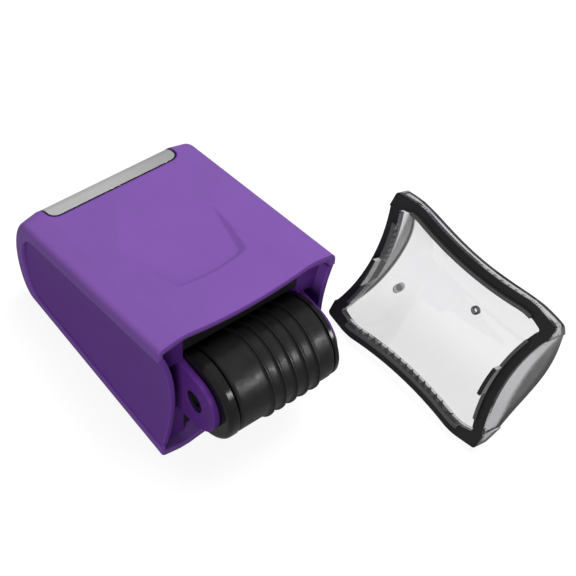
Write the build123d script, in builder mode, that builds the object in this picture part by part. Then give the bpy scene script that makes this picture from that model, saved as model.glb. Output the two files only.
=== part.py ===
from build123d import *
from math import cos, radians, sin, sqrt, tan
import os

# Hand-held roller stamp for drawing five-line music staves, with its clear cap off beside it.
# Millimetres. The stamp lies on the two flat lands of its bottom, mouth towards -Y.
# X runs along the roller, Z is up, and the origin is under the middle of stamp and cap together.
# Inside the stamp, places are given as width, depth behind the mouth, and height off its mid-plane.

# Body
width = 58.0
crest_half_height = 22.85       # half the mouth's height, at the flat lands
taper = 6.2                     # degrees between a land and the mid-plane
body_length = 71.7
nose_length = 8.4               # from where the flat top turns down to the nose's tip
nose_pull_share = 0.75          # how far the nose's start comes forward, of what is drawn in
nose_round_share = 0.5523       # handle length that makes a quarter turn nearly elliptical
wall = 1.6
land_inset = 6.5                # from the body's side to a land
land_width = 3.0
crest_rise = 1.2                # the lands stand this much above the outer corners
trough_depth = 1.85             # hollow between the lands, at the mouth
trough_tail = 5.3               # that hollow has faded out this far in front of the nose
edge_round = 2.2

# Side covers
strip_height = 4.0              # strip of shell left above and below a cover
cover_step = 0.4                # a cover lies this much below the strip
mouth_bow = 3.1                 # how far a cover curves inwards at the mouth
nose_bow = 0.5
cover_thickness = 1.6
cover_gap = 0.2
ledge_width = 1.6
ledge_depth = 2.2
ledge_setback = 7.0

# Thumb scoops, top and bottom
scoop_front = 13.6
scoop_bow = 2.2                 # how far its front edge bows towards the mouth
scoop_margin = 2.5              # from its back corners to the lands
scoop_draw_in = 4.1             # how far each side comes in towards the mouth
scoop_tail = 11.3               # from its back end to the nose
scoop_depth = 2.7
scoop_dish_radius = 110.0       # its floor is hollowed across the stamp
scoop_wall_share = 0.299        # of its half width in front, that a wall leans over its depth
scoop_round = 2.0

# Name plate and its black tray, wrapped round the nose
plate_margin = 7.8              # from the body's side to the plate
plate_lap = 2.7                 # how far the plate laps over the flat top
plate_corner = 2.6
plate_thickness = 0.55
plate_sink = 0.06               # plate and tray lie this much below the shell round them
tray_rim = 0.7
tray_thickness = 0.45

# Stamping drum
drum_reach = 3.7                # the drum's axis lies this far in front of the mouth
drum_side_room = 10.4           # from a drum end to the body's side
axle_radius = 3.3
axle_fit = 0.06
axle_recess = 0.5
dimple_radius = 1.9
dimple_depth = 0.9
hub_wall = 2.3
core_wall = 1.6
core_web = 2.4
core_rib = 1.4
core_rib_count = 6
cushion_thickness = 1.4
die_radius = 12.7
die_thickness = 1.5
die_end_round = 1.3
line_height = 0.78
line_base_width = 2.0          # its flanks are hollow and run out flat at their foot
line_top_width = 0.45
line_spacing = 3.8
line_count = 5
staff_offset = 3.4              # the staff's middle lies this far to the right of the drum's
left_cap_length = 3.2
left_cap_rise = 0.2             # it stands this much above the die
left_cap_round = 1.5
left_cap_groove = 0.5
right_cap_length = 1.4
right_cap_drop = 0.2            # it stays this much below the die
right_cap_round = 0.4
spigot_length = 4.0
spigot_wall = 1.5

# Roller frame
arm_thickness = 1.9
arm_gap = 0.3
ear_radius = 9.0
arm_root_half = 10.0
bulkhead_setback = 3.3
bulkhead_thickness = 2.0
frame_drop = 8.05               # the frame's box stays this far inside the mouth's crests
frame_clearance = 0.15
frame_back_thickness = 2.0
frame_window_half = 9.0

# Ink unit behind the drum
drum_clearance = 0.8
ink_gap = 0.25
ink_core_wall = 1.4
ink_axle_radius = 2.5
ink_axle_fit = 0.06
ink_axle_end_gap = 0.3
ink_end_gap = 0.7
ink_flange_thickness = 0.8
ink_flange_height = 1.7         # how far a flange stands out from the tube
ink_room_share = 0.5634         # of the cradle's height, taken by the space for the ink roller
ink_space = 1.0
cradle_side = 1.9
cradle_gap = 0.1
cradle_inset = 0.6              # how far the cradle stays inside the frame's box
fascia_drop = 4.45              # the black front stays this far inside the mouth's crests
fascia_thickness = 2.0
cradle_back = 1.8
cradle_cover_thickness = 1.6
cradle_cover_lap = 3.0          # how far it laps over the space for the ink roller
finger_gap = 0.1

# Cap
cap_wall = 1.5
cap_overhang = 0.8              # its rim stands proud of the mouth by this much all round
cap_side_depth = 3.8            # straight part of the long sides
cap_floor_bow = 0.5             # its ends still curve inwards by this much at the floor
cap_corner_round = 1.2
cap_inner_round = 0.8
cap_land_round = 10.0
cap_drum_gap = 0.62             # between its floor and the drum, when it is on
cap_lip_gap = 0.15
cap_lip_thickness = 1.0
cap_lip_height = 1.3
cap_shoulder = 2.4
cap_lip_break = 3.0
tongue_height = 5.0
tongue_half_width = 4.6
tongue_offset = 1.0
mark_height = 0.35              # round marks of gate and ejector on the floor
gate_radius = 1.35
gate_hole_radius = 0.7
gate_right = 2.0
gate_up = 0.9
pin_radius = 1.3
pin_left = 21.0
pin_down = 9.3
cap_lean = 25.54                # degrees that its opening looks up
cap_heading = 3.85              # degrees that its opening is turned away from straight left
cap_stand_off = 21.72           # from the body's side to the middle of its opening
cap_forward = 17.58

over = 2.0                      # how far every cutter runs past what it cuts

# Places that follow from the sizes
half_width = width / 2
slope = tan(radians(taper))
nose_start = body_length - nose_length
corner_half_height = crest_half_height - crest_rise
strip_drop = crest_rise + strip_height
kink_half_height = crest_half_height - strip_drop
land_outer = half_width - land_inset
land_inner = land_outer - land_width
trough_end = nose_start - trough_tail
trough_radius = (land_inner**2 + trough_depth**2) / (2 * trough_depth)
cover_face = half_width - cover_step
scoop_corner = scoop_front + scoop_bow
scoop_back = nose_start - scoop_tail
scoop_back_half = land_inner - scoop_margin
scoop_front_half = scoop_back_half - scoop_draw_in
plate_half_width = half_width - plate_margin
plate_front = nose_start - plate_lap
plate_inner_drop = plate_sink + plate_thickness
tray_drop = plate_inner_drop + tray_thickness
drum_half_length = half_width - drum_side_room
line_radius = die_radius + line_height
cushion_radius = die_radius - die_thickness
core_radius = cushion_radius - cushion_thickness
hub_radius = axle_radius + hub_wall
left_cap_radius = die_radius + left_cap_rise
right_cap_radius = die_radius - right_cap_drop
arm_inner = drum_half_length + arm_gap
arm_outer = arm_inner + arm_thickness
frame_half_height = crest_half_height - frame_drop
fascia_half_height = crest_half_height - fascia_drop
ink_core_radius = ink_axle_radius + ink_core_wall
ink_flange_radius = ink_core_radius + ink_flange_height
cradle_half_width = arm_inner - cradle_gap
cradle_inner_half = cradle_half_width - cradle_side
cradle_half_height = frame_half_height - cradle_inset
drum_hollow_radius = line_radius + drum_clearance
drum_hollow_end = sqrt(max(drum_hollow_radius**2 - cradle_half_height**2, 0.0)) - drum_reach
ink_space_radius = cradle_half_height * ink_room_share
ink_foam_radius = ink_space_radius - ink_space
ink_depth = line_radius + ink_gap + ink_foam_radius - drum_reach
ink_half_length = cradle_inner_half - ink_end_gap
cradle_front = bulkhead_setback + frame_clearance
fascia_depth = max(drum_hollow_end - cradle_front, 0.0) + fascia_thickness
cradle_end = ink_depth + ink_space_radius + cradle_back
cradle_cover_end = cradle_end + cradle_cover_thickness
cradle_cover_half_height = ink_space_radius + cradle_cover_lap
frame_back = cradle_cover_end + frame_clearance
cap_depth = drum_reach + line_radius + cap_wall + cap_drum_gap
cap_right = half_width + cap_stand_off

stamp = Plane(
    origin=(0, corner_half_height * sin(radians(taper)), crest_half_height * cos(radians(taper))),
    x_dir=(1, 0, 0),
    z_dir=(0, sin(radians(taper)), cos(radians(taper))),
)


def inside(x, depth, height):
    """The point at this width, depth and height in the stamp."""
    return stamp.from_local_coords(Vector(x, depth, height))


def across(x):
    """The upright plane at width x, in which sketches read as depth and height."""
    return Plane(origin=inside(x, 0, 0), x_dir=stamp.y_dir, z_dir=stamp.x_dir)


def facing(depth):
    """The plane at this depth seen from the mouth, in which sketches read as width and height."""
    return Plane(origin=inside(0, depth, 0), x_dir=stamp.x_dir, z_dir=-stamp.y_dir)


def land_plane(side):
    """The plane of the top lands (side 1) or the bottom lands (side -1), looking outwards."""
    normal = stamp.z_dir * side * cos(radians(taper)) + stamp.y_dir * sin(radians(taper))
    return Plane(origin=inside(0, 0, side * crest_half_height), x_dir=stamp.x_dir * side, z_dir=normal)


def side_profile(drop, lead=0.0):
    """The body seen from the side, drawn in by drop, running lead out of the mouth."""
    start = nose_start - drop * nose_pull_share
    tip = body_length - drop
    shoulder = crest_half_height - drop - start * slope
    mouth = crest_half_height - drop + lead * slope
    handle = nose_round_share * (tip - start)
    with BuildSketch() as profile:
        with BuildLine():
            Line((-lead, -mouth), (-lead, mouth))
            Line((-lead, mouth), (start, shoulder))
            Bezier((start, shoulder), (start + handle, shoulder - handle * slope),
                   (tip, nose_round_share * shoulder), (tip, 0))
            Bezier((tip, 0), (tip, -nose_round_share * shoulder),
                   (start + handle, handle * slope - shoulder), (start, -shoulder))
            Line((start, -shoulder), (-lead, -mouth))
        make_face()
    return profile.sketch


def cap_outline(inset, bow=mouth_bow):
    """An outline like the mouth's, drawn in by inset: hollow long sides, bowed short sides."""
    right = half_width - inset
    crest = crest_half_height - inset
    corner = crest - crest_rise
    bowed = right - cover_step
    with BuildSketch() as outline:
        with BuildLine():
            for side in (1, -1):
                Polyline((right * side, kink_half_height * side), (right * side, corner * side),
                         (land_outer * side, crest * side), (land_inner * side, crest * side))
                ThreePointArc((land_inner * side, crest * side), (0, (crest - trough_depth) * side),
                              (-land_inner * side, crest * side))
                Polyline((-land_inner * side, crest * side), (-land_outer * side, crest * side),
                         (-right * side, corner * side), (-right * side, kink_half_height * side),
                         (-bowed * side, kink_half_height * side))
                ThreePointArc((-bowed * side, kink_half_height * side),
                              ((bow - bowed) * side, 0),
                              (-bowed * side, -kink_half_height * side))
                Line((-bowed * side, -kink_half_height * side), (-right * side, -kink_half_height * side))
        make_face()
        corners = [point for point in outline.vertices()
                   if abs(abs(point.X) - right) + abs(abs(point.Y) - corner) < cover_step]
        fillet(corners, max(cap_corner_round - cap_overhang - inset, cap_inner_round))
        land_ends = [point for point in outline.vertices() if abs(abs(point.Y) - crest) < cover_step / 2]
        fillet(land_ends, cap_land_round)
    return outline.sketch


def body_block(drop, lead=0.0, outer_round=0.0):
    """The whole body as a solid block, drawn in by drop on every side."""
    with BuildPart() as block:
        with BuildSketch(across(0)):
            add(side_profile(drop, lead))
        extrude(amount=half_width - drop, both=True)
        for end in (0, -1):
            side_face = block.faces().sort_by(Axis.X)[end]
            mouth_edge = side_face.edges().sort_by(Axis.Y)[0]
            rim_edges = [edge for edge in side_face.edges() if edge != mouth_edge]
            chamfer(rim_edges, crest_rise, half_width - land_outer, reference=side_face)
        if outer_round > 0:
            for end in (0, -1):
                side_face = block.faces().sort_by(Axis.X)[end]
                mouth_edge = side_face.edges().sort_by(Axis.Y)[0]
                rim_edges = [edge for edge in side_face.edges() if edge != mouth_edge]
                fillet(rim_edges, outer_round)
        for side in (1, -1):
            for depth in (-lead - over, body_length + over):
                lift = trough_depth * (depth / trough_end - 1) + trough_radius
                centre = side * (crest_half_height - depth * slope + lift)
                with BuildSketch(facing(depth)):
                    with Locations((0, centre)):
                        Circle(trough_radius + drop)
            loft(ruled=True, mode=Mode.SUBTRACT)
    return block.part


def scoop(side, grow):
    """What a thumb scoop takes from the top or bottom, grown by grow on its walls and floor."""
    land = land_plane(side)
    fade = scoop_depth / (scoop_back - scoop_front)
    lean = scoop_wall_share * scoop_front_half / scoop_depth
    floor = Plane(
        origin=land.from_local_coords(Vector(0, scoop_front, -scoop_depth)),
        x_dir=-land.x_dir,
        z_dir=land.y_dir + land.z_dir * fade,
    )
    with BuildPart() as cut:
        for height in (over, -scoop_depth - grow - over):
            with BuildSketch(land.offset(height)):
                with BuildLine():
                    ThreePointArc((-scoop_front_half, scoop_corner), (0, scoop_front),
                                  (scoop_front_half, scoop_corner))
                    Polyline((scoop_front_half, scoop_corner), (scoop_back_half, scoop_back),
                             (-scoop_back_half, scoop_back), (-scoop_front_half, scoop_corner))
                make_face()
                offset(amount=grow + height * lean, kind=Kind.INTERSECTION)
                fillet(vertices(), scoop_round)
        loft(ruled=True)
        with BuildSketch(floor.offset(-body_length)):
            with Locations((0, scoop_dish_radius)):
                Circle(scoop_dish_radius + grow)
        extrude(amount=2 * body_length, mode=Mode.INTERSECT)
    return cut.part


def cover_layer(side, below, above):
    """A layer along a side cover's outer face, from below it to above it, past every edge."""
    with BuildPart() as layer:
        for depth in (-over, body_length + over):
            half_chord = kink_half_height - depth * slope
            bow = mouth_bow + (nose_bow - mouth_bow) * depth / body_length
            radius = (half_chord**2 + bow**2) / (2 * bow)
            centre = cover_face - bow + radius
            half = half_chord + over
            with BuildSketch(facing(depth)):
                with BuildLine():
                    ends = []
                    for reach in (radius + below, radius - above):
                        edge = centre - sqrt(reach**2 - half**2)
                        ThreePointArc((side * edge, -half), (side * (centre - reach), 0), (side * edge, half))
                        ends.append(side * edge)
                    Line((ends[0], half), (ends[1], half))
                    Line((ends[1], -half), (ends[0], -half))
                make_face()
        loft(ruled=True)
    return layer.part


def nose_band(outer_drop, inner_drop, half, front, corner):
    """A skin round the nose between two depths of drop, from front backwards, with rounded corners."""
    with BuildPart() as band:
        with BuildSketch(across(-half)):
            add(side_profile(outer_drop))
            add(side_profile(inner_drop, over), mode=Mode.SUBTRACT)
        extrude(amount=2 * half)
        with BuildSketch(stamp.offset(-crest_half_height)):
            with Locations((0, front)):
                Rectangle(2 * half, body_length, align=(Align.CENTER, Align.MIN))
            fillet(vertices().group_by(Axis.Y)[0], corner)
        extrude(amount=2 * crest_half_height, mode=Mode.INTERSECT)
    return band.part


# Shapes that more than one piece is cut from
drum_origin = inside(0, -drum_reach, 0)
drum_axis = Axis(drum_origin, stamp.x_dir)
drum_plane = Plane(origin=drum_origin, x_dir=stamp.x_dir, z_dir=stamp.z_dir)
outer_block = body_block(0.0, 0.0, edge_round)
cavity_block = body_block(wall, over)
frame_block = body_block(wall + frame_clearance, over)
cavity_scoops = [scoop(side, wall) for side in (1, -1)]
surface_scoops = [scoop(side, 0.0) for side in (1, -1)]
tray_recess = nose_band(-over, tray_drop, plate_half_width + tray_rim, plate_front - tray_rim,
                        plate_corner + tray_rim)
tray_blank = nose_band(plate_sink, tray_drop, plate_half_width + tray_rim, plate_front - tray_rim,
                       plate_corner + tray_rim)
plate_blank = nose_band(plate_sink, plate_inner_drop, plate_half_width, plate_front, plate_corner)

# Housing: one deep moulded shell, open at the mouth and in both flanks, with a ledge behind each cover
with BuildPart() as cavity:
    add(cavity_block)
    for bulge in cavity_scoops:
        add(bulge, mode=Mode.SUBTRACT)

flank_pockets = []
for side in (1, -1):
    with BuildPart() as pocket:
        add(cover_layer(side, cover_thickness, mouth_bow + over))
        with BuildSketch(across(0)):
            add(side_profile(strip_drop, over))
        extrude(amount=side * (half_width + over), mode=Mode.INTERSECT)
    flank_pockets.append(pocket.part)

with BuildPart() as housing_shell:
    add(outer_block)
    add(cavity.part, mode=Mode.SUBTRACT)
    for side in (1, -1):
        with BuildSketch(across(side * (cover_face - cover_thickness - ledge_depth))):
            add(side_profile(strip_drop - wall))
            add(side_profile(strip_drop + ledge_width, over), mode=Mode.SUBTRACT)
            with Locations((ledge_setback, 0)):
                Rectangle(body_length, width, align=(Align.MIN, Align.CENTER), mode=Mode.INTERSECT)
        extrude(amount=side * (ledge_depth + cover_thickness))
    for pocket in flank_pockets:
        add(pocket, mode=Mode.SUBTRACT)
    for dent in surface_scoops:
        add(dent, mode=Mode.SUBTRACT)
    add(tray_recess, mode=Mode.SUBTRACT)

# Side covers: thin curved panels that close the flanks and finish the rim of the mouth
side_covers = {}
for side, name in ((1, "right_side_cover"), (-1, "left_side_cover")):
    with BuildPart() as side_cover:
        add(cover_layer(side, cover_thickness, 0.0))
        with BuildSketch(across(0)):
            add(side_profile(strip_drop + cover_gap))
        extrude(amount=side * (half_width + over), mode=Mode.INTERSECT)
    side_covers[name] = side_cover.part

# Name plate: bright sheet metal bent round the nose, in a black tray that shows as its outline
with BuildPart() as plate_tray:
    add(tray_blank)
    add(plate_blank, mode=Mode.SUBTRACT)

with BuildPart() as index_plate:
    add(plate_blank)

# Roller frame: bulkhead across the mouth, two arms with ears for the drum, and a back plate
with BuildPart() as roller_frame:
    add(frame_block)
    split(bisect_by=facing(bulkhead_setback), keep=Keep.BOTTOM)
    split(bisect_by=facing(bulkhead_setback + bulkhead_thickness), keep=Keep.TOP)
    for side in (1, -1):
        add(cover_layer(side, cover_thickness + frame_clearance, mouth_bow + over), mode=Mode.SUBTRACT)
    with BuildSketch(facing(bulkhead_setback - over)):
        Rectangle(2 * arm_inner, 2 * crest_half_height)
        Rectangle(width, 2 * frame_window_half)
    extrude(amount=-bulkhead_thickness - 2 * over, mode=Mode.SUBTRACT)
    for side in (1, -1):
        with BuildSketch(across(side * arm_inner)):
            with Locations((-drum_reach, 0)):
                Circle(ear_radius)
            with Locations((bulkhead_setback, 0)):
                Rectangle(bulkhead_thickness, 2 * arm_root_half, align=(Align.MIN, Align.CENTER))
            make_hull()
            with Locations((bulkhead_setback, 0)):
                Rectangle(frame_back + frame_back_thickness - bulkhead_setback, 2 * frame_half_height,
                          align=(Align.MIN, Align.CENTER))
            with Locations((-drum_reach, 0)):
                Circle(axle_radius + axle_fit, mode=Mode.SUBTRACT)
        extrude(amount=side * arm_thickness)
    with BuildSketch(facing(frame_back)):
        Rectangle(2 * arm_outer, 2 * frame_half_height)
    extrude(amount=-frame_back_thickness)

# Ink cradle: black block that carries the ink roller and curves round the back of the drum
with BuildPart() as ink_cradle:
    with BuildSketch(across(-cradle_half_width)):
        with Locations((cradle_front, 0)):
            Rectangle(cradle_end - cradle_front, 2 * cradle_half_height, align=(Align.MIN, Align.CENTER))
            Rectangle(fascia_depth, 2 * fascia_half_height, align=(Align.MIN, Align.CENTER))
        with Locations((-drum_reach, 0)):
            Circle(drum_hollow_radius, mode=Mode.SUBTRACT)
    extrude(amount=2 * cradle_half_width)
    with BuildSketch(across(-cradle_inner_half)):
        with Locations((ink_depth, 0)):
            Circle(ink_space_radius)
            Rectangle(ink_space_radius + cradle_back + over, 2 * ink_space_radius,
                      align=(Align.MIN, Align.CENTER))
    extrude(amount=2 * cradle_inner_half, mode=Mode.SUBTRACT)
    with BuildSketch(across(-cradle_half_width - over)):
        with Locations((ink_depth, 0)):
            Circle(ink_axle_radius + ink_axle_fit)
            Rectangle(ink_space_radius + cradle_back + over, 2 * (ink_axle_radius + ink_axle_fit),
                      align=(Align.MIN, Align.CENTER))
    extrude(amount=2 * (cradle_half_width + over), mode=Mode.SUBTRACT)

# Cradle cover: back plate of the ink unit, whose two fingers shut the slots behind the ink axle
with BuildPart() as cradle_cover:
    with BuildSketch(facing(cradle_end)):
        Rectangle(2 * cradle_half_width, 2 * cradle_cover_half_height)
    extrude(amount=-cradle_cover_thickness)
    finger_length = cradle_end - ink_depth - ink_axle_radius - ink_axle_fit - finger_gap
    with BuildSketch(facing(cradle_end)):
        for side in (1, -1):
            with Locations((side * (cradle_half_width - cradle_side / 2), 0)):
                Rectangle(cradle_side, 2 * (ink_axle_radius + ink_axle_fit - finger_gap))
    extrude(amount=finger_length)

# Ink roller: soaked foam sleeve on a plastic tube, between two flanges, on a plain axle
with BuildPart() as ink_axle:
    with BuildSketch(across(ink_axle_end_gap - arm_inner)):
        with Locations((ink_depth, 0)):
            Circle(ink_axle_radius)
    extrude(amount=2 * (arm_inner - ink_axle_end_gap))

with BuildPart() as ink_core:
    with BuildSketch(across(-ink_half_length)):
        with Locations((ink_depth, 0)):
            Circle(ink_core_radius)
            Circle(ink_axle_radius, mode=Mode.SUBTRACT)
    extrude(amount=2 * ink_half_length)

with BuildPart() as ink_foam:
    with BuildSketch(across(ink_flange_thickness - ink_half_length)):
        with Locations((ink_depth, 0)):
            Circle(ink_foam_radius)
            Circle(ink_core_radius, mode=Mode.SUBTRACT)
    extrude(amount=2 * (ink_half_length - ink_flange_thickness))

ink_flanges = {}
for side, name in ((1, "right_ink_flange"), (-1, "left_ink_flange")):
    with BuildPart() as ink_flange:
        with BuildSketch(across(side * ink_half_length)):
            with Locations((ink_depth, 0)):
                Circle(ink_flange_radius)
                Circle(ink_core_radius, mode=Mode.SUBTRACT)
        extrude(amount=-side * ink_flange_thickness)
    ink_flanges[name] = ink_flange.part

# Drum axle: one black pin through both ears, its ends sunk and dimpled
axle_half = arm_outer - axle_recess
with BuildPart() as drum_axle:
    with BuildSketch(across(-axle_half)):
        with Locations((-drum_reach, 0)):
            Circle(axle_radius)
    extrude(amount=2 * axle_half)
    for side in (1, -1):
        with BuildSketch(across(side * axle_half)):
            with Locations((-drum_reach, 0)):
                Circle(dimple_radius)
        extrude(amount=-side * dimple_depth, mode=Mode.SUBTRACT)

# Drum: ribbed core, a cushion sleeve and the rubber die round it, shut by a cap at each end
sleeve_left = left_cap_length + left_cap_groove - drum_half_length
sleeve_right = drum_half_length - right_cap_length
sleeve_length = sleeve_right - sleeve_left
with BuildPart() as drum_core:
    with BuildSketch(across(sleeve_left)):
        with Locations((-drum_reach, 0)):
            Circle(core_radius)
            Circle(core_radius - core_wall, mode=Mode.SUBTRACT)
    extrude(amount=sleeve_length)
    with BuildSketch(across(sleeve_left + spigot_length)):
        with Locations((-drum_reach, 0)):
            Circle(hub_radius)
            with PolarLocations(0, core_rib_count):
                Rectangle(core_radius - core_wall / 2, core_rib, align=(Align.MIN, Align.CENTER))
            Circle(axle_radius, mode=Mode.SUBTRACT)
    extrude(amount=sleeve_length - 2 * spigot_length)
    with BuildSketch(across((sleeve_left + sleeve_right - core_web) / 2)):
        with Locations((-drum_reach, 0)):
            Circle(core_radius - core_wall / 2)
            Circle(axle_radius, mode=Mode.SUBTRACT)
    extrude(amount=core_web)

with BuildPart() as die_cushion:
    with BuildSketch(across(sleeve_left)):
        with Locations((-drum_reach, 0)):
            Circle(cushion_radius)
            Circle(core_radius, mode=Mode.SUBTRACT)
    extrude(amount=sleeve_length)

with BuildPart() as staff_die:
    with BuildSketch(drum_plane):
        with Locations((sleeve_left, cushion_radius)):
            Rectangle(sleeve_length, die_radius - cushion_radius, align=(Align.MIN, Align.MIN))
        fillet(vertices().group_by(Axis.Y)[-1], die_end_round)
        first_line = staff_offset - line_spacing * (line_count - 1) / 2
        for line in range(line_count):
            middle = first_line + line * line_spacing
            with BuildLine():
                for way in (1, -1):
                    TangentArc((middle - way * line_base_width / 2, die_radius),
                               (middle - way * line_top_width / 2, line_radius), tangent=(way, 0))
                Line((middle - line_top_width / 2, line_radius), (middle + line_top_width / 2, line_radius))
                Line((middle - line_base_width / 2, die_radius), (middle + line_base_width / 2, die_radius))
            make_face()
    revolve(axis=drum_axis)

drum_caps = {}
for side, name, length, radius, edge in (
    (-1, "left_drum_cap", left_cap_length, left_cap_radius, left_cap_round),
    (1, "right_drum_cap", right_cap_length, right_cap_radius, right_cap_round),
):
    shoulder = (left_cap_groove if side < 0 else 0.0) + spigot_length
    spigot_radius = core_radius - core_wall
    with BuildPart() as drum_cap:
        with BuildSketch(across(side * (drum_half_length - length))):
            with Locations((-drum_reach, 0)):
                Circle(radius)
        extrude(amount=side * length)
        fillet(drum_cap.edges().group_by(Axis.X)[-1 if side > 0 else 0], edge)
        with BuildSketch(across(side * (drum_half_length - length))):
            with Locations((-drum_reach, 0)):
                Circle(spigot_radius)
                Circle(spigot_radius - spigot_wall, mode=Mode.SUBTRACT)
        extrude(amount=-side * shoulder)
        with BuildSketch(across(side * drum_half_length)):
            with Locations((-drum_reach, 0)):
                Circle(axle_radius)
        extrude(amount=-side * length, mode=Mode.SUBTRACT)
    drum_caps[name] = drum_cap.part

# Cap: clear barrel-bottomed tray with a locating lip and two latch tongues, leaning as it was put down
lean = radians(cap_lean)
heading = radians(cap_heading)
cap_plane = Plane(
    origin=(cap_right, -cap_forward, 0),
    x_dir=(sin(heading), -cos(heading), 0),
    z_dir=(-cos(lean) * cos(heading), -cos(lean) * sin(heading), sin(lean)),
)
cap_end_plane = Plane(origin=cap_plane.origin, x_dir=cap_plane.y_dir, z_dir=cap_plane.x_dir)
lip_outer = wall + cap_lip_gap
lip_inner = lip_outer + cap_lip_thickness


def cap_barrel(shrink):
    """The space over the cap's rounded floor, drawn in by shrink and waisted as the rim is."""
    floor = cap_depth - shrink
    with BuildPart() as barrel:
        for place, side in (
            (-half_width - cap_overhang - over, corner_half_height),
            (-land_outer, crest_half_height),
            (0, crest_half_height - trough_depth),
            (land_outer, crest_half_height),
            (half_width + cap_overhang + over, corner_half_height),
        ):
            outer = side + cap_overhang
            half = outer - shrink
            steepness = 2 * (cap_depth - cap_side_depth) / outer
            wall_depth = cap_side_depth - shrink * (sqrt(1 + steepness**2) - steepness)
            with BuildSketch(cap_end_plane.offset(place)):
                with BuildLine():
                    Bezier((-half, -wall_depth), (0, wall_depth - 2 * floor), (half, -wall_depth))
                    Polyline((half, -wall_depth), (half + over, over), (-half - over, over), (-half, -wall_depth))
                make_face()
        loft()
    return barrel.part


def cap_block(shrink):
    """The cap as a solid tray, drawn in by shrink, its ends straighter towards the floor."""
    with BuildPart() as block:
        for depth in (0.0, cap_depth + over):
            bow = mouth_bow + (cap_floor_bow - mouth_bow) * depth / cap_depth
            with BuildSketch(cap_plane.offset(-depth)):
                add(cap_outline(shrink - cap_overhang, bow))
        loft(ruled=True)
        add(cap_barrel(shrink), mode=Mode.INTERSECT)
    return block.part


with BuildPart() as floor_marks:
    add(cap_block(cap_wall / 2))
    add(cap_block(cap_wall + mark_height), mode=Mode.SUBTRACT)
    with BuildSketch(cap_plane.offset(-cap_side_depth - over)):
        with Locations((gate_right, gate_up)):
            Circle(gate_radius)
            Circle(gate_hole_radius, mode=Mode.SUBTRACT)
        with Locations((-pin_left, -pin_down)):
            Circle(pin_radius)
    extrude(amount=-cap_depth, mode=Mode.INTERSECT)

with BuildPart() as cap:
    add(cap_block(0.0))
    add(cap_block(cap_wall), mode=Mode.SUBTRACT)
    add(floor_marks.part)
    with BuildSketch(cap_plane.offset(-cap_shoulder)):
        add(cap_outline(cap_wall / 2 - cap_overhang))
        add(cap_outline(lip_inner), mode=Mode.SUBTRACT)
    extrude(amount=cap_shoulder)
    with BuildSketch(cap_plane):
        add(cap_outline(lip_outer))
        add(cap_outline(lip_inner), mode=Mode.SUBTRACT)
        with Locations(*[(x * half_width, y * crest_half_height) for x in (1, -1) for y in (1, -1)]):
            Rectangle(2 * (half_width - land_outer), 2 * (strip_drop + cap_lip_break), mode=Mode.SUBTRACT)
    extrude(amount=cap_lip_height)
    with BuildSketch(cap_plane):
        add(cap_outline(lip_outer))
        add(cap_outline(lip_inner), mode=Mode.SUBTRACT)
        with Locations((0, -tongue_offset)):
            Rectangle(width, 2 * tongue_half_width, mode=Mode.INTERSECT)
    extrude(amount=tongue_height)

on_table = Location((0, 0, -cap.part.bounding_box().min.Z))

# Every piece by its name, moved so that the origin lies under the middle of the whole
pieces = {
    "housing_shell": housing_shell.part,
    **side_covers,
    "plate_tray": plate_tray.part,
    "index_plate": index_plate.part,
    "roller_frame": roller_frame.part,
    "ink_cradle": ink_cradle.part,
    "cradle_cover": cradle_cover.part,
    "ink_axle": ink_axle.part,
    "ink_core": ink_core.part,
    "ink_foam": ink_foam.part,
    **ink_flanges,
    "drum_axle": drum_axle.part,
    "drum_core": drum_core.part,
    "die_cushion": die_cushion.part,
    "staff_die": staff_die.part,
    **drum_caps,
    "cap": cap.part.moved(on_table),
}
whole = Compound([*pieces.values()]).bounding_box()
to_origin = Location((-(whole.min.X + whole.max.X) / 2, -(whole.min.Y + whole.max.Y) / 2, 0))

os.makedirs("parts", exist_ok=True)
for name, piece in pieces.items():
    placed = piece.moved(to_origin)
    placed.label = name
    export_step(placed, "parts/" + name + ".step")
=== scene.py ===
from math import cos, pi, radians, sin

import bpy
from mathutils import Matrix, Vector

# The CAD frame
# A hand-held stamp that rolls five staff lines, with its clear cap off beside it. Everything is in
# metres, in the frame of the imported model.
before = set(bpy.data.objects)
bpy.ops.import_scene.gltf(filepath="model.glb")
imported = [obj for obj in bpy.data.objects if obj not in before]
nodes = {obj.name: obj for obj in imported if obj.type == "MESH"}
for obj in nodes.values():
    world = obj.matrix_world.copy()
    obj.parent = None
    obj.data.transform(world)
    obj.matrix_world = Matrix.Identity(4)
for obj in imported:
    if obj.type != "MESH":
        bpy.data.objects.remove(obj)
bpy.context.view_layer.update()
mm = 0.001

# Camera
# It looks down on the mouth from its left and is turned a little about its own line of sight, as in
# the photograph. Its place and lens are fitted to the mouth's corners and the cap's rim.
camera_place = (-179.55 * mm, -169.74 * mm, 340.17 * mm)
camera_heading = radians(-46.69)
camera_height = radians(51.84)
camera_roll = radians(10.31)
camera_lens = 90.53
film_width = 36.0

camera_data = bpy.data.cameras.new("camera")
camera_data.lens = camera_lens
camera_data.sensor_width = film_width
camera = bpy.data.objects.new("camera", camera_data)
bpy.context.scene.collection.objects.link(camera)
camera.matrix_world = (
    Matrix.Translation(camera_place)
    @ Matrix.Rotation(camera_heading, 4, "Z")
    @ Matrix.Rotation(pi / 2 - camera_height, 4, "X")
    @ Matrix.Rotation(camera_roll, 4, "Z")
)
bpy.context.scene.camera = camera

# Studio
# A pale table that runs out of sight, a large soft lamp high up behind, a small one in front on the
# right that only shines in the drum, and a low fill in front on the left. Table and air read white.
table_size = 6.0
table_colour = (0.20, 0.20, 0.20, 1)
table_glow = 0.87
table_mirrored = 0.25
air_light = 0.20
air_seen = 0.80
air_mirrored = 0.60


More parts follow.
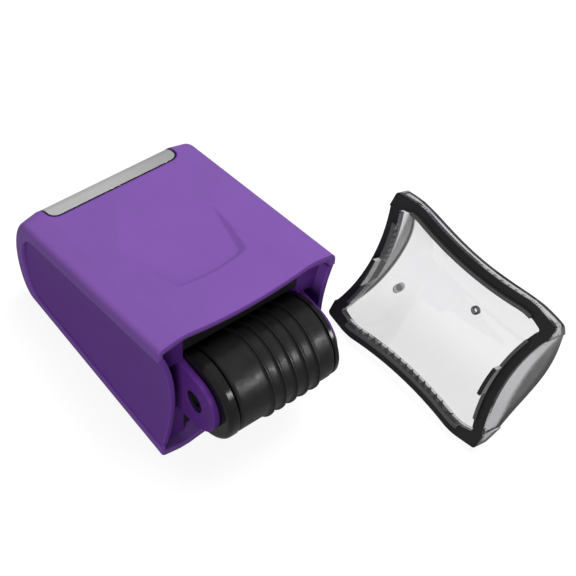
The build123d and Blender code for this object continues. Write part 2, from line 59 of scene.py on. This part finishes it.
def new_material(name):
    """A material whose tree is empty but for its output, with that tree and that output."""
    material = bpy.data.materials.new(name)
    material.use_nodes = True
    tree = material.node_tree
    tree.nodes.clear()
    return material, tree, tree.nodes.new("ShaderNodeOutputMaterial")


def feed(tree, socket, value):
    """Links a node's output to this input, or sets the input to a plain value."""
    if isinstance(value, bpy.types.NodeSocket):
        tree.links.new(value, socket)
    else:
        socket.default_value = value


def put(tree, kind, settings=None, **inputs):
    """A node of this kind, with its settings, and with its inputs set or linked."""
    node = tree.nodes.new(kind)
    for name, value in (settings or {}).items():
        setattr(node, name, value)
    for name, value in inputs.items():
        feed(tree, node.inputs[name.replace("_", " ")], value)
    return node


def reckon(tree, operation, first, second=0.0, clamp=False):
    """The result of a Math node on two values or outputs."""
    node = put(tree, "ShaderNodeMath", {"operation": operation, "use_clamp": clamp})
    feed(tree, node.inputs[0], first)
    feed(tree, node.inputs[1], second)
    return node.outputs[0]


def seen_directly(tree, mirror_share):
    """One for the eye and through clear plastic, less in a mirror, zero as light on the object."""
    path = tree.nodes.new("ShaderNodeLightPath")
    mirrored = reckon(tree, "MULTIPLY", path.outputs["Is Glossy Ray"], mirror_share)
    eye_or_mirror = reckon(tree, "ADD", path.outputs["Is Camera Ray"], mirrored)
    return reckon(tree, "ADD", eye_or_mirror, path.outputs["Is Transmission Ray"], clamp=True)


bpy.ops.object.select_all(action="DESELECT")
bpy.ops.mesh.primitive_plane_add(size=table_size)
table = bpy.context.object
table.name = "table"
table_material, tree, output = new_material("white table")
paper = put(tree, "ShaderNodeBsdfDiffuse", Color=table_colour)
glow_strength = reckon(tree, "MULTIPLY", seen_directly(tree, table_mirrored), table_glow)
glow = put(tree, "ShaderNodeEmission", Strength=glow_strength)
both = tree.nodes.new("ShaderNodeAddShader")
tree.links.new(paper.outputs[0], both.inputs[0])
tree.links.new(glow.outputs[0], both.inputs[1])
tree.links.new(both.outputs[0], output.inputs["Surface"])
table.data.materials.append(table_material)

world = bpy.data.worlds.new("air")
world.use_nodes = True
bpy.context.scene.world = world
tree = world.node_tree
tree.nodes.clear()
air_shown = reckon(tree, "MULTIPLY", seen_directly(tree, air_mirrored), air_seen)
air = put(tree, "ShaderNodeBackground", Strength=reckon(tree, "ADD", air_shown, air_light))
output = tree.nodes.new("ShaderNodeOutputWorld")
tree.links.new(air.outputs[0], output.inputs["Surface"])


def soft_lamp(name, heading, height, distance, size, power, mirrored):
    """A square soft lamp, aimed at the origin, that is seen in mirrors alone or lights alone."""
    lamp_data = bpy.data.lights.new(name, "AREA")
    lamp_data.shape = "SQUARE"
    lamp_data.size = size
    lamp_data.energy = power
    lamp = bpy.data.objects.new(name, lamp_data)
    lamp.visible_diffuse = not mirrored
    lamp.visible_glossy = mirrored
    lamp.visible_transmission = False
    bpy.context.scene.collection.objects.link(lamp)
    away = Vector((
        sin(radians(heading)) * cos(radians(height)),
        -cos(radians(heading)) * cos(radians(height)),
        sin(radians(height)),
    ))
    lamp.location = away * distance
    lamp.rotation_euler = away.to_track_quat("Z", "Y").to_euler()


soft_lamp("overhead_lamp", heading=115, height=66, distance=0.6, size=0.5, power=4.25,
          mirrored=False)
soft_lamp("right_lamp", heading=30, height=31, distance=0.8, size=0.18, power=2.6, mirrored=True)
soft_lamp("left_fill", heading=-55, height=22, distance=1.0, size=0.6, power=5.4, mirrored=False)
bpy.context.scene.view_settings.view_transform = "Standard"

# Housing
# One deep wedge-shaped moulding in purple ABS, open at the mouth and in both flanks, with a thumb
# scoop on top and underneath. Its surface is a fine even spark-eroded texture.
purple = (0.186, 0.085, 0.342, 1)
# The painted highlight on edges: a brighter violet for the purple plastics, and a gain for the rest.
purple_edge_highlight = (0.26, 0.055, 0.58, 1)
edge_highlight_gain = 1.45
edge_samples = 6
grain_size = 0.22 * mm
grain_strength = 0.35
patch_size = 14.0 * mm
patch_contrast = 0.06
patch_unevenness = 0.08
mix_share, mix_first, mix_second, mix_result = 0, 6, 7, 2  # a Mix node's sockets for colours


def new_group(name, inputs, outputs):
    """A node group and its two ends. An input has a name, a kind and a value, an output no value."""
    group = bpy.data.node_groups.new(name, "ShaderNodeTree")
    kinds = {"value": "NodeSocketFloat", "vector": "NodeSocketVector"}
    for label, kind, value in inputs:
        socket = group.interface.new_socket(label, in_out="INPUT", socket_type=kinds[kind])
        if value is not None:
            socket.default_value = value
    for label, kind in outputs:
        group.interface.new_socket(label, in_out="OUTPUT", socket_type=kinds[kind])
    return group, group.nodes.new("NodeGroupInput"), group.nodes.new("NodeGroupOutput")


def vector_math(tree, operation, first, second):
    """A Vector Math node on two vectors or outputs."""
    node = put(tree, "ShaderNodeVectorMath", {"operation": operation})
    feed(tree, node.inputs[0], first)
    feed(tree, node.inputs[1], second)
    return node


def speckle(tree, place, size, detail, roughness):
    """A noise whose spots are about this size."""
    finer = reckon(tree, "DIVIDE", 1.0, size)
    noise = put(tree, "ShaderNodeTexNoise", Vector=place, Scale=finer, Detail=detail,
                Roughness=roughness)
    return noise.outputs["Fac"]


moulded_grain, given, result = new_group(
    "moulded grain",
    [("Place", "vector", None), ("Grain Size", "value", grain_size),
     ("Patch Size", "value", patch_size), ("Roughness", "value", None),
     ("Unevenness", "value", patch_unevenness)],
    [("Height", "value"), ("Roughness", "value"), ("Patches", "value")],
)
place = given.outputs["Place"]
grain = speckle(moulded_grain, place, given.outputs["Grain Size"], detail=3.0, roughness=0.6)
patches = speckle(moulded_grain, place, given.outputs["Patch Size"], detail=4.0, roughness=0.55)
swing = reckon(moulded_grain, "SUBTRACT", patches, 0.5)
uneven = reckon(moulded_grain, "MULTIPLY", swing, given.outputs["Unevenness"])
roughness = reckon(moulded_grain, "ADD", given.outputs["Roughness"], uneven)
moulded_grain.links.new(grain, result.inputs["Height"])
moulded_grain.links.new(roughness, result.inputs["Roughness"])
moulded_grain.links.new(patches, result.inputs["Patches"])

# A mask of the edges, where the materials paint a highlight or shade into the colour, and the soft
# normal of the edges rounded in shading.
painted_edge_light_and_round, given, result = new_group(
    "painted edge light and round",
    [("Reach", "value", None), ("Strength", "value", None)],
    [("Mask", "value"), ("Soft Normal", "vector")],
)
rounded = put(painted_edge_light_and_round, "ShaderNodeBevel", {"samples": edge_samples},
              Radius=given.outputs["Reach"]).outputs["Normal"]
facing = painted_edge_light_and_round.nodes.new("ShaderNodeNewGeometry").outputs["Normal"]
likeness = vector_math(painted_edge_light_and_round, "DOT_PRODUCT", rounded, facing).outputs["Value"]
turned = reckon(painted_edge_light_and_round, "SUBTRACT", 1.0, likeness, clamp=True)
painted_edge_share = reckon(painted_edge_light_and_round, "MULTIPLY", turned, given.outputs["Strength"], clamp=True)
painted_edge_light_and_round.links.new(painted_edge_share, result.inputs["Mask"])
painted_edge_light_and_round.links.new(rounded, result.inputs["Soft Normal"])


def grouped(tree, group, **inputs):
    """This node group in a material, with its inputs set or linked."""
    return put(tree, "ShaderNodeGroup", {"node_tree": group}, **inputs)


def object_place(tree):
    """The place on the piece, in metres."""
    return tree.nodes.new("ShaderNodeTexCoord").outputs["Object"]


def blend_colours(tree, share, first, second):
    """The first colour mixed with the second by share."""
    node = put(tree, "ShaderNodeMix", {"data_type": "RGBA"})
    feed(tree, node.inputs[mix_share], share)
    feed(tree, node.inputs[mix_first], first)
    feed(tree, node.inputs[mix_second], second)
    return node.outputs[mix_result]


def lit(colour, factor):
    """The colour made brighter or darker by factor."""
    return (*[min(1.0, part * factor) for part in colour[:3]], 1)


def surface_of(tree, output, **inputs):
    """A Principled shader with these inputs, as the material's surface."""
    shader = put(tree, "ShaderNodeBsdfPrincipled", **inputs)
    tree.links.new(shader.outputs[0], output.inputs["Surface"])


def moulded_plastic(name, colour, rough, grain_depth, edge_reach, edge_highlight_strength, gloss,
                    edge_highlight_tone=None, index=1.5):
    """Plastic with a fine grain, faint flow patches, and a painted highlight on its rounded edges.
    """
    material, tree, output = new_material(name)
    skin = grouped(tree, moulded_grain, Place=object_place(tree), Roughness=rough)
    edges = grouped(tree, painted_edge_light_and_round, Reach=edge_reach, Strength=edge_highlight_strength)
    flowed = blend_colours(tree, skin.outputs["Patches"], lit(colour, 1 - patch_contrast),
                           lit(colour, 1 + patch_contrast))
    coloured = blend_colours(tree, edges.outputs["Mask"], flowed,
                             edge_highlight_tone or lit(colour, edge_highlight_gain))
    bumped = put(tree, "ShaderNodeBump", Strength=grain_strength, Distance=grain_depth,
                 Height=skin.outputs["Height"], Normal=edges.outputs["Soft Normal"])
    surface_of(tree, output, Base_Color=coloured, Roughness=skin.outputs["Roughness"],
               Specular_IOR_Level=gloss, IOR=index, Normal=bumped.outputs["Normal"])
    return material


def finish_with(material, *names):
    """Gives these CAD nodes this material."""
    for name in names:
        mesh = nodes[name].data
        mesh.materials.clear()
        mesh.materials.append(material)


purple_shell = moulded_plastic("purple shell", purple, rough=0.42, grain_depth=0.02 * mm,
                               edge_reach=0.9 * mm, edge_highlight_strength=2.6, gloss=0.20,
                               edge_highlight_tone=purple_edge_highlight, index=1.20)
finish_with(purple_shell, "housing_shell")

# Side covers
# Two thin hollowed panels in the same plastic, coloured darker than the shell as painted shade, let
# into the flanks behind a fine groove. Their front ends are the bowed short sides of the mouth.
cover_purple_painted_shade = (0.138, 0.053, 0.274, 1)

purple_cover = moulded_plastic("purple cover", cover_purple_painted_shade, rough=0.50, grain_depth=0.02 * mm,
                               edge_reach=0.7 * mm, edge_highlight_strength=2.6, gloss=0.06,
                               edge_highlight_tone=purple_edge_highlight, index=1.30)
finish_with(purple_cover, "left_side_cover", "right_side_cover")

# Name plate and tray
# A plain satin plate of sheet metal, bent round the nose and brushed along its length. It is glued
# in a thin black plastic tray whose rim shows all round it as a dark line.
tray_black = (0.008, 0.006, 0.011, 1)
# The plate's colour holds painted light and shade: brightest at its left end, darker towards its
# right end, and darker along its edges.
plate_painted_light = (1.0, 1.0, 1.0, 1)
plate_painted_shade = (0.78, 0.78, 0.78, 1)
plate_edge_shade = (0.50, 0.50, 0.50, 1)
plate_shade_from = -25.64 * mm
plate_shade_to = -0.2 * mm
brush_pitch = 0.05 * mm
brush_length = 6.0 * mm
brush_depth = 0.006 * mm
brush_grey = (0.30, 0.30, 0.30, 1)
brush_share = 0.35

black_tray = moulded_plastic("black tray", tray_black, rough=0.45, grain_depth=0.01 * mm,
                             edge_reach=0.1 * mm, edge_highlight_strength=0.5, gloss=0.20)
finish_with(black_tray, "plate_tray")


def soft_step(tree, value, start, end):
    """Zero before the start and one after the end, and soft in between."""
    node = put(tree, "ShaderNodeMapRange", {"interpolation_type": "SMOOTHSTEP"}, Value=value,
               From_Min=start, From_Max=end)
    return node.outputs["Result"]


brushed, tree, output = new_material("brushed plate")
place = object_place(tree)
drawn = put(tree, "ShaderNodeMapping", Vector=place,
            Scale=(1 / brush_length, 1 / brush_pitch, 1 / brush_pitch))
strokes = put(tree, "ShaderNodeTexNoise", Vector=drawn.outputs[0], Scale=1.0, Detail=4.0,
              Roughness=0.7).outputs["Fac"]
handled = grouped(tree, moulded_grain, Place=place, Patch_Size=9.0 * mm, Roughness=0.30,
                  Unevenness=0.16)
edges = grouped(tree, painted_edge_light_and_round, Reach=0.25 * mm, Strength=2.0)
across = put(tree, "ShaderNodeSeparateXYZ", Vector=place).outputs["X"]
plate_shade_share = soft_step(tree, across, plate_shade_from, plate_shade_to)
tone = blend_colours(tree, plate_shade_share, plate_painted_light, plate_painted_shade)
tone = blend_colours(tree, reckon(tree, "MULTIPLY", strokes, brush_share), tone, brush_grey)
tone = blend_colours(tree, edges.outputs["Mask"], tone, plate_edge_shade)
bumped = put(tree, "ShaderNodeBump", Strength=0.25, Distance=brush_depth, Height=strokes,
             Normal=edges.outputs["Soft Normal"])
surface_of(tree, output, Base_Color=tone, Roughness=handled.outputs["Roughness"], Metallic=1.0,
           Normal=bumped.outputs["Normal"])
finish_with(brushed, "index_plate")

# Roller frame
# A bulkhead of the same purple plastic, pushed into the mouth, moulded in one with the two arms
# whose ears carry the drum. It lies deep in the shade, and its colour is painted darker than the
# shell's as painted shade.
frame_purple_painted_shade = (0.104, 0.027, 0.224, 1)

purple_frame = moulded_plastic("purple frame", frame_purple_painted_shade, rough=0.34, grain_depth=0.012 * mm,
                               edge_reach=0.5 * mm, edge_highlight_strength=3.0, gloss=0.14, index=1.35)
finish_with(purple_frame, "roller_frame")

# Ink unit
# A cradle of black plastic behind the drum, with an ink-soaked foam roller in it, on a plastic tube
# between two flanges. A plate pushed on from behind keeps the roller in its slots.
matt_black = (0.007, 0.007, 0.007, 1)
foam_cell = 0.35 * mm
foam_depth = 0.15 * mm
foam_pit = (0.002, 0.002, 0.003, 1)
foam_wall = (0.016, 0.016, 0.020, 1)

black_matt = moulded_plastic("black moulding", matt_black, rough=0.55, grain_depth=0.02 * mm,
                             edge_reach=0.3 * mm, edge_highlight_strength=1.0, gloss=0.25)
finish_with(black_matt, "ink_cradle", "cradle_cover", "ink_axle", "ink_core", "left_ink_flange",
            "right_ink_flange", "drum_core")

foam, tree, output = new_material("inked foam")
cells = put(tree, "ShaderNodeTexVoronoi", {"feature": "F1"}, Vector=object_place(tree),
            Scale=1 / foam_cell).outputs["Distance"]
bumped = put(tree, "ShaderNodeBump", Strength=0.8, Distance=foam_depth, Height=cells)
surface_of(tree, output, Base_Color=blend_colours(tree, cells, foam_pit, foam_wall),
           Roughness=0.75, Normal=bumped.outputs["Normal"])
finish_with(foam, "ink_foam", "die_cushion")

# Drum axle and caps
# A polished black pin with dimpled ends, which turns in the ears of the frame, and the two moulded
# caps, like small wheels, that close the ends of the drum.
polished_black = (0.009, 0.009, 0.009, 1)

black_gloss = moulded_plastic("polished black", polished_black, rough=0.17,
                              grain_depth=0.004 * mm, edge_reach=0.3 * mm, edge_highlight_strength=0.6,
                              gloss=0.25)
finish_with(black_gloss, "drum_axle", "left_drum_cap", "right_drum_cap")

# Staff die
# A black rubber sleeve drawn over the drum's foam, with the five staff lines standing up from it.
# Its skin shines unevenly, with a painted highlight in its colour along the lines' edges.
die_black = (0.008, 0.008, 0.008, 1)
die_dull = lit(die_black, 0.8)
die_wiped = lit(die_black, 1.5)
die_edge_highlight = lit(die_black, 2.0)

rubber, tree, output = new_material("die rubber")
skin = grouped(tree, moulded_grain, Place=object_place(tree), Grain_Size=0.5 * mm,
               Patch_Size=2.5 * mm, Roughness=0.38, Unevenness=0.50)
edges = grouped(tree, painted_edge_light_and_round, Reach=0.25 * mm, Strength=1.5)
tone = blend_colours(tree, skin.outputs["Patches"], die_dull, die_wiped)
tone = blend_colours(tree, edges.outputs["Mask"], tone, die_edge_highlight)
bumped = put(tree, "ShaderNodeBump", Strength=0.3, Distance=0.02 * mm,
             Height=skin.outputs["Height"], Normal=edges.outputs["Soft Normal"])
surface_of(tree, output, Base_Color=tone, Roughness=skin.outputs["Roughness"],
           Specular_IOR_Level=0.28, Normal=bumped.outputs["Normal"])
finish_with(rubber, "staff_die")

# Cap
# A tray moulded in smoke-clear polystyrene, with a barrel-shaped bottom, a lip that fits the mouth
# and two latch tongues. Long ways through the plastic look nearly black, and that is painted shade
# in its colour: the end walls are tinted darker, their deep part darker still, and the whole rim,
# which is that plastic seen end on, is near black. The lip and the tongues are painted paler, as
# painted light through thinner plastic.
smoke_index = 1.56
smoke_haze = 0.03
smoke_colour = (0.80, 0.80, 0.81, 1)
smoke_density = 700.0
smoke_shadow = (0.80, 0.80, 0.80, 1)
smoke_clear = (1.0, 1.0, 1.0, 1)
end_wall_painted_shade = (0.76, 0.76, 0.76, 1)
deep_end_painted_shade = (0.10, 0.10, 0.10, 1)
smoke_mark = (0.20, 0.20, 0.20, 1)
smoke_gate = (0.03, 0.03, 0.03, 1)
rim_band_painted_shade = (0.0035, 0.0035, 0.0035, 1)
rim_face_painted_shade = (0.022, 0.022, 0.022, 1)
lip_painted_light = (0.085, 0.085, 0.085, 1)
tongue_painted_light = (0.42, 0.42, 0.42, 1)
rim_rough = 0.25
rim_gloss = 0.15
flow_size = 9.0 * mm
flow_depth = 0.05 * mm
rim_middle = (29.31 * mm, -30.51 * mm, 22.97 * mm)
rim_lean = radians(25.54)
rim_heading = radians(3.85)
rim_half_width = 29.4 * mm
rim_half_height = 23.65 * mm
rim_bow = 3.1 * mm
rim_bow_reach = 17.65 * mm
rim_hollow = 1.85 * mm
rim_hollow_reach = 19.5 * mm
rim_skin = 0.4 * mm
lip_start = 1.15 * mm
tongue_start = 1.55 * mm
tongue_end = 4.35 * mm
floor_bow = 0.5 * mm
tray_depth = 19.3 * mm
shoulder_depth = 1.4 * mm
shoulder_inset = 0.6 * mm
end_wall = 1.9 * mm
end_dark_depth = 9.5 * mm
gate_mark = (2.0 * mm, 0.9 * mm, 0)
gate_hole = 0.7 * mm
gate_rim = 1.35 * mm
pin_mark = (-21.0 * mm, -9.3 * mm, 0)
pin_rim = 1.3 * mm
mark_fade = 0.1 * mm
rim_fade = 0.2 * mm
wall_fade = 0.3 * mm
depth_fade = 1.5 * mm
rim_facing = (-cos(rim_lean) * cos(rim_heading), -cos(rim_lean) * sin(rim_heading), sin(rim_lean))
rim_along = (sin(rim_heading), -cos(rim_heading), 0)
rim_up = (sin(rim_lean) * cos(rim_heading), sin(rim_lean) * sin(rim_heading), cos(rim_lean))
band_low = -rim_skin / 2
ledge_low = -shoulder_depth - rim_skin
least_upward = 0.5
rim_slot = 1


def distance_along(tree, place, start, direction):
    """How far a place lies from a start in this direction."""
    away = vector_math(tree, "SUBTRACT", place, start).outputs["Vector"]
    return vector_math(tree, "DOT_PRODUCT", away, direction).outputs["Value"]


def distance_from(tree, place, middle):
    """How far a place lies from this middle."""
    return vector_math(tree, "DISTANCE", place, middle).outputs["Value"]


def step_up(tree, value, limit, fade):
    """Zero below the limit and one above it, with a soft step."""
    return soft_step(tree, value, limit - fade, limit + fade)


def step_down(tree, value, limit, fade):
    """One below the limit and zero above it, with a soft step."""
    return reckon(tree, "SUBTRACT", 1.0, step_up(tree, value, limit, fade))


def hollowed(tree, half, hollow, place, reach):
    """How far out an outline lies at this place, where it curves inwards by hollow over reach."""
    share = reckon(tree, "DIVIDE", place, reach)
    bend = reckon(tree, "SUBTRACT", 1.0, reckon(tree, "MULTIPLY", share, share), clamp=True)
    return reckon(tree, "SUBTRACT", half, reckon(tree, "MULTIPLY", hollow, bend))


smoke, tree, output = new_material("smoke clear")
place = object_place(tree)
flow = put(tree, "ShaderNodeTexNoise", Vector=place, Scale=1 / flow_size, Detail=3.0)
bumped = put(tree, "ShaderNodeBump", Strength=0.12, Distance=flow_depth,
             Height=flow.outputs["Fac"])
above_rim = distance_along(tree, place, rim_middle, rim_facing)
along_rim = distance_along(tree, place, rim_middle, rim_along)
up_rim = distance_along(tree, place, rim_middle, rim_up)
off_along = reckon(tree, "ABSOLUTE", along_rim)
off_up = reckon(tree, "ABSOLUTE", up_rim)

bow_by_depth = reckon(tree, "MULTIPLY", above_rim, (rim_bow - floor_bow) / tray_depth)
bow_here = reckon(tree, "ADD", rim_bow, bow_by_depth)
end_line = hollowed(tree, rim_half_width, bow_here, off_up, rim_bow_reach)
side_line = hollowed(tree, rim_half_height, rim_hollow, off_along, rim_hollow_reach)
from_end = reckon(tree, "SUBTRACT", end_line, off_along)
from_side = reckon(tree, "SUBTRACT", side_line, off_up)
inwards = reckon(tree, "MINIMUM", from_end, from_side)

in_shoulder = reckon(tree, "MULTIPLY", step_up(tree, above_rim, -shoulder_depth, wall_fade),
                     step_up(tree, inwards, shoulder_inset, rim_fade))
from_within = tree.nodes.new("ShaderNodeNewGeometry").outputs["Backfacing"]
from_outside = reckon(tree, "SUBTRACT", 1.0, from_within)
in_shoulder = reckon(tree, "MULTIPLY", in_shoulder, from_outside)
at_rim = reckon(tree, "MAXIMUM", in_shoulder, step_up(tree, above_rim, -rim_skin, rim_fade))
in_end = step_down(tree, from_end, end_wall, wall_fade)
deep_end = reckon(tree, "MULTIPLY", in_end,
                  step_down(tree, above_rim, -end_dark_depth, depth_fade))

on_floor = put(tree, "ShaderNodeCombineXYZ", X=along_rim, Y=up_rim).outputs[0]
from_gate = distance_from(tree, on_floor, gate_mark)
gate_ring = reckon(tree, "MULTIPLY", step_down(tree, from_gate, gate_rim, mark_fade),
                   step_up(tree, from_gate, gate_hole, mark_fade))
on_pin = step_down(tree, distance_from(tree, on_floor, pin_mark), pin_rim, mark_fade)

# The gate and pin marks are the cap's own marks. The end walls, more so their deep part, and the rim
# band are tinted darker as painted shade.
tint = blend_colours(tree, on_pin, smoke_clear, smoke_mark)
tint = blend_colours(tree, gate_ring, tint, smoke_gate)
tint = blend_colours(tree, in_end, tint, end_wall_painted_shade)
tint = blend_colours(tree, deep_end, tint, deep_end_painted_shade)
tint = blend_colours(tree, at_rim, tint, rim_band_painted_shade)
clear = put(tree, "ShaderNodeBsdfPrincipled", Base_Color=tint, Roughness=smoke_haze,
            IOR=smoke_index, Transmission_Weight=1.0, Normal=bumped.outputs["Normal"])
shade = put(tree, "ShaderNodeBsdfTransparent", Color=smoke_shadow)
path = tree.nodes.new("ShaderNodeLightPath")
chosen = put(tree, "ShaderNodeMixShader", Fac=path.outputs["Is Shadow Ray"])
tree.links.new(clear.outputs[0], chosen.inputs[1])
tree.links.new(shade.outputs[0], chosen.inputs[2])
dye = put(tree, "ShaderNodeVolumeAbsorption", Color=smoke_colour, Density=smoke_density)
tree.links.new(chosen.outputs[0], output.inputs["Surface"])
tree.links.new(dye.outputs[0], output.inputs["Volume"])
finish_with(smoke, "cap")

# The rim band's own opaque material: near black as painted shade, paler on the lip and light grey on
# the tongues as painted light through thinner plastic.
rim_painted_plastic, tree, output = new_material("smoke rim with painted shade")
above_rim = distance_along(tree, object_place(tree), rim_middle, rim_facing)
past_lip = step_up(tree, above_rim, tongue_start, rim_fade)
on_lip = reckon(tree, "SUBTRACT", step_up(tree, above_rim, lip_start, mark_fade), past_lip)
on_tongue = reckon(tree, "SUBTRACT", past_lip, step_up(tree, above_rim, tongue_end, rim_fade))
tint = blend_colours(tree, on_lip, rim_face_painted_shade, lip_painted_light)
tint = blend_colours(tree, on_tongue, tint, tongue_painted_light)
surface_of(tree, output, Base_Color=tint, Roughness=rim_rough, Specular_IOR_Level=rim_gloss)

# The rim band's faces take this opaque material, so the rim is painted near black as painted shade.
cap_mesh = nodes["cap"].data
cap_mesh.materials.append(rim_painted_plastic)
for face in cap_mesh.polygons:
    height = (face.center - Vector(rim_middle)).dot(Vector(rim_facing))
    upward = face.normal.dot(Vector(rim_facing)) > least_upward
    if height > band_low or (upward and height > ledge_low):
        face.material_index = rim_slot
